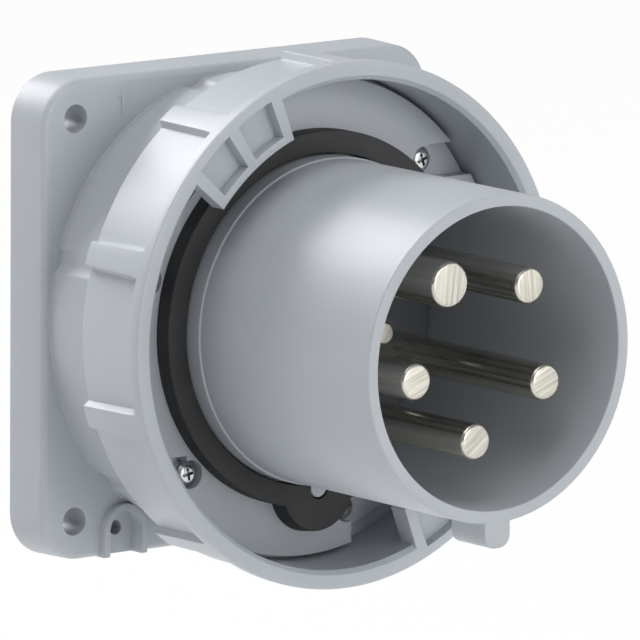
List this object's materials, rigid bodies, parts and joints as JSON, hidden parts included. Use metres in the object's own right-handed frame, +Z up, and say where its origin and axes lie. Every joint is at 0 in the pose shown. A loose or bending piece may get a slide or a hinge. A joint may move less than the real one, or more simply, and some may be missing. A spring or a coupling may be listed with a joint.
{
  "type": "industrial power plug",
  "caption": "Grey flange-mounted industrial power plug: round shroud with thick pins, a black face seal and a bayonet locking ring on a square flange.",
  "frame": {"origin": "centre of the flange's back face, on the plug's axis", "axes": "-Y points forward along the pins, +X is right seen from the front, +Z is up, with the key nose at the bottom"},
  "size_m": [0.115, 0.1288, 0.115],
  "materials": {
    "housing_plastic": "fine moulded grain, mid grey",
    "ring_plastic": "fine moulded grain, light grey",
    "shroud_plastic": "smooth satin moulding, mid grey",
    "insulator_plastic": "satin, dark grey",
    "seal_rubber": "matt black rubber",
    "nickel_plate": "turned brass, bright nickel plate",
    "screw_steel": "zinc plated steel"
  },
  "bodies": {
    "inlet": {"flange_housing": "housing_plastic", "flange_gasket": "seal_rubber", "body_seal": "seal_rubber", "pin_shroud": "shroud_plastic", "face_gasket": "seal_rubber", "shroud_screws": "screw_steel", "contact_carrier": "insulator_plastic", "carrier_seal": "seal_rubber", "pin_seals": "seal_rubber", "earth_pin": "nickel_plate", "line_pin_1": "nickel_plate", "line_pin_2": "nickel_plate", "line_pin_3": "nickel_plate", "neutral_pin": "nickel_plate", "pilot_pin": "nickel_plate", "terminal_holder": "insulator_plastic", "holder_screws": "screw_steel", "clamp_screws": "screw_steel", "pilot_clamp_screw": "screw_steel"},
    "ring": {"locking_ring": "ring_plastic"}
  },
  "joints": [
    {"name": "ring_turn", "type": "hinge", "parent": "inlet", "child": "ring", "pos_m": [0, 0, 0], "axis": [0, 1, 0], "range_deg": [0, 50]}
  ]
}
